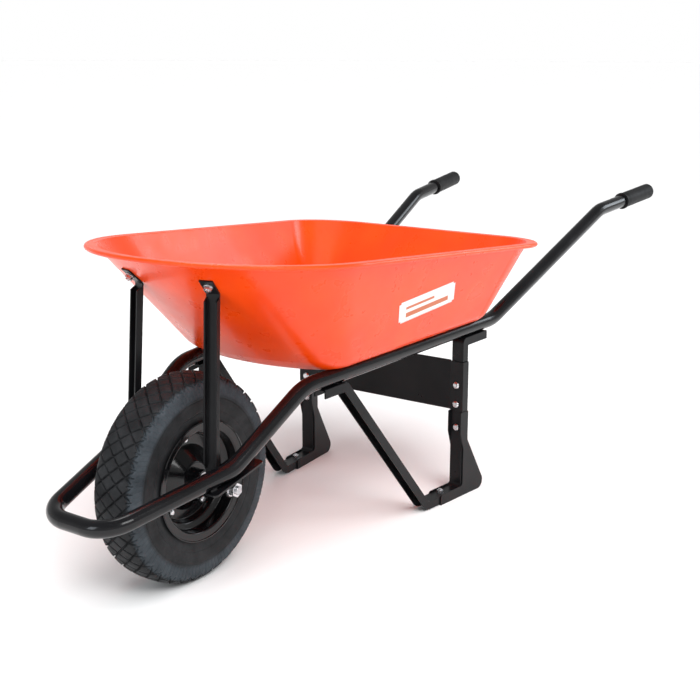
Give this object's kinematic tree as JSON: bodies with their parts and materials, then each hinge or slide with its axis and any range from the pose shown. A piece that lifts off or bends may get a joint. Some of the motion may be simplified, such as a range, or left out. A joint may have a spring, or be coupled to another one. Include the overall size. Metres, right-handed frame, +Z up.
{
  "type": "wheelbarrow",
  "caption": "Single-wheel barrow with a pressed sheet tray on a bent tube frame, channel legs with wrapped shoes and a pneumatic wheel on ball bearings.",
  "frame": {"origin": "centre of the footprint, on the ground the tyre and the two leg shoes stand on", "axes": "+X from the wheel towards the handles, +Y to the left when looking along +X, +Z up"},
  "size_m": [1.7995, 0.6638, 0.6332],
  "materials": {
    "tray_paint": "glossy powder coat over pressed sheet",
    "frame_paint": "gloss black",
    "leg_paint": "satin black",
    "grip_rubber": "matt moulded rubber",
    "tyre_rubber": "moulded tyre rubber",
    "zinc": "bright zinc plate",
    "steel": "plain ground steel",
    "steel_wire": "drawn wire",
    "brass": "plain",
    "plastic": "matt"
  },
  "bodies": {
    "frame": {"tray": "tray_paint", "rim_wire": "steel_wire", "frame_tube": "frame_paint", "grip_left": "grip_rubber", "grip_right": "grip_rubber", "bearing_inner_rings": "steel", "axle": "steel", "axle_spacers": "steel", "axle_washers": "zinc", "axle_nuts": "zinc", "axle_block_left": "frame_paint", "axle_block_right": "frame_paint", "axle_bracket_left": "frame_paint", "axle_bracket_right": "frame_paint", "bracket_welds": "frame_paint", "bracket_bolts": "zinc", "bracket_nuts": "zinc", "front_brace_left": "leg_paint", "front_brace_right": "leg_paint", "brace_bolts": "zinc", "brace_nuts": "zinc", "brace_washers": "zinc", "leg_left": "leg_paint", "leg_right": "leg_paint", "leg_shoe_left": "leg_paint", "leg_shoe_right": "leg_paint", "cross_plate": "leg_paint", "plate_bolts": "zinc", "plate_nuts": "zinc", "leg_bolts": "zinc", "leg_nuts": "zinc", "foot_bolts": "zinc", "foot_nuts": "zinc", "tray_bolts": "zinc", "tray_nuts": "zinc"},
    "wheel": {"tyre": "tyre_rubber", "inner_tube": "tyre_rubber", "rim_half_left": "frame_paint", "rim_half_right": "frame_paint", "rim_bolts": "zinc", "rim_nuts": "zinc", "valve_stem": "brass", "valve_cap": "plastic", "hub": "frame_paint", "bearing_outer_rings": "steel", "bearing_balls": "steel"}
  },
  "joints": [
    {"name": "wheel_spin", "type": "hinge", "parent": "frame", "child": "wheel", "pos_m": [-0.61005, 0, 0.2], "axis": [0, 1, 0], "continuous": true}
  ]
}
